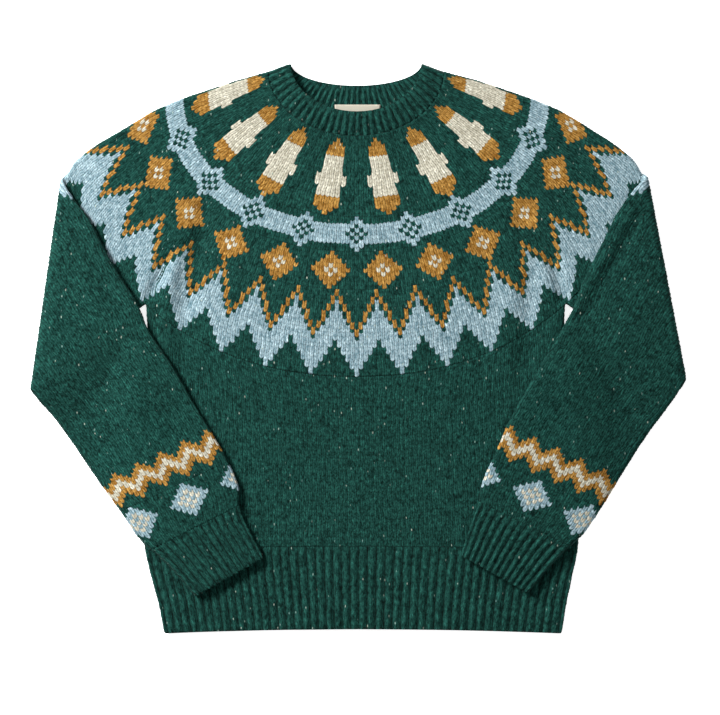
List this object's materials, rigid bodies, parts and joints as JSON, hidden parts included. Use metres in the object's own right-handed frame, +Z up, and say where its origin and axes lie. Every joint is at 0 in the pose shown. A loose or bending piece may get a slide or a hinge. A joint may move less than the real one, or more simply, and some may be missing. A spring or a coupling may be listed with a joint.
{
  "type": "fair isle jumper",
  "caption": "Knitted jumper with a round patterned yoke, laid flat face up with both sleeves folded over its front.",
  "frame": {"origin": "middle of the garment's outline in plan, on the surface that it lies on", "axes": "+X across the garment to the right of the picture, +Y from the hem to the neck, +Z up from the surface"},
  "size_m": [0.784, 0.686, 0.0164],
  "materials": {
    "plain_knit": "heathered dark green wool in stocking stitch with pale flecks",
    "rib": "heathered dark green wool in single rib",
    "yoke": "stranded colour knitting in green, pale blue, ochre and cream wool",
    "label": "woven cream tape"
  },
  "bodies": {
    "root": {"neckband_front": "rib", "neckband_back": "rib", "yoke_front": "yoke", "yoke_back": "yoke", "body_front": "plain_knit", "body_back": "plain_knit", "hem_rib": "rib", "sleeve_left": "plain_knit", "cuff_left": "rib", "sleeve_right": "plain_knit", "cuff_right": "rib", "label": "label"}
  },
  "joints": []
}
